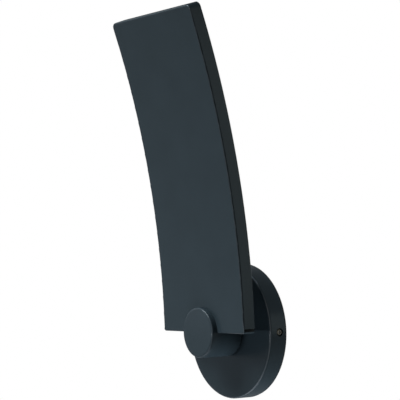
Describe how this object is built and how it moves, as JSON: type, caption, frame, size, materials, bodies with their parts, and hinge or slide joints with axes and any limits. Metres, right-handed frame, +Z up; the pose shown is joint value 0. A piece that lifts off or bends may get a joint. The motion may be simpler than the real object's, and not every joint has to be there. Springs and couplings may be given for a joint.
{
  "type": "outdoor wall sconce",
  "caption": "Black outdoor wall light: a round canopy carries a short swivelling arm with a tall curved panel that shines back onto the wall through an opal diffuser.",
  "frame": {"origin": "centre of the two box screws, on the wall's surface behind the canopy", "axes": "+Y into the wall, +Z up along the tall panel, +X to the right of a person who faces the wall"},
  "size_m": [0.127, 0.1028, 0.3615],
  "materials": {
    "black_coat": "satin black powder coat on die-cast and bent aluminium",
    "plated_steel": "bright zinc-plated sheet steel",
    "side_screw_brass": "dulled, weathered yellow-chromated screw",
    "stainless": "turned stainless steel",
    "black_screw": "black-oxide steel screw",
    "ground_green": "green ground screw",
    "black_nylon": "matte black nylon",
    "foam": "closed-cell black foam rubber",
    "silicone": "grey silicone rubber",
    "opal": "opal acrylic, satin",
    "white_board": "white solder mask on aluminium",
    "chip_phosphor": "yellow phosphor in a white frame",
    "white_plastic": "moulded white plastic",
    "ivory_plastic": "moulded ivory polyamide",
    "terminal_brass": "nickel-free brass clamp screws",
    "supply_insulation": "black and white wire insulation",
    "lead_insulation": "white silicone lead",
    "earth_insulation": "green wire insulation"
  },
  "bodies": {
    "canopy": {"wall_gasket": "foam", "canopy_cover": "black_coat", "mounting_bracket": "plated_steel", "side_screws": "side_screw_brass", "ground_screw": "ground_green", "led_driver": "white_plastic", "driver_screws": "plated_steel", "terminal_block": "ivory_plastic", "terminal_screws": "terminal_brass", "terminal_block_screws": "plated_steel", "supply_leads": "supply_insulation", "driver_lead": "lead_insulation", "earth_lead": "earth_insulation", "swivel_bush": "black_nylon", "swivel_washer": "black_nylon"},
    "head": {"swivel_stud": "stainless", "stud_screws": "stainless", "stop_washer": "plated_steel", "spring_washer": "stainless", "swivel_nut": "stainless", "arm_housing": "black_coat", "arm_cap": "black_coat", "cap_seal": "silicone", "saddle_screws": "stainless", "lead_grommet": "silicone", "panel_shell": "black_coat", "rear_cover": "black_coat", "cover_screws": "black_screw", "cover_seal": "silicone", "diffuser": "opal", "diffuser_gasket": "silicone", "thermal_pad": "silicone", "led_board": "white_board", "board_screws": "stainless", "led_chips": "chip_phosphor", "board_connector": "white_plastic", "panel_lead": "lead_insulation"}
  },
  "joints": [
    {"name": "arm_swivel", "type": "hinge", "parent": "canopy", "child": "head", "pos_m": [0, 0, 0], "axis": [0, 1, 0], "range_deg": [-90, 90]}
  ]
}
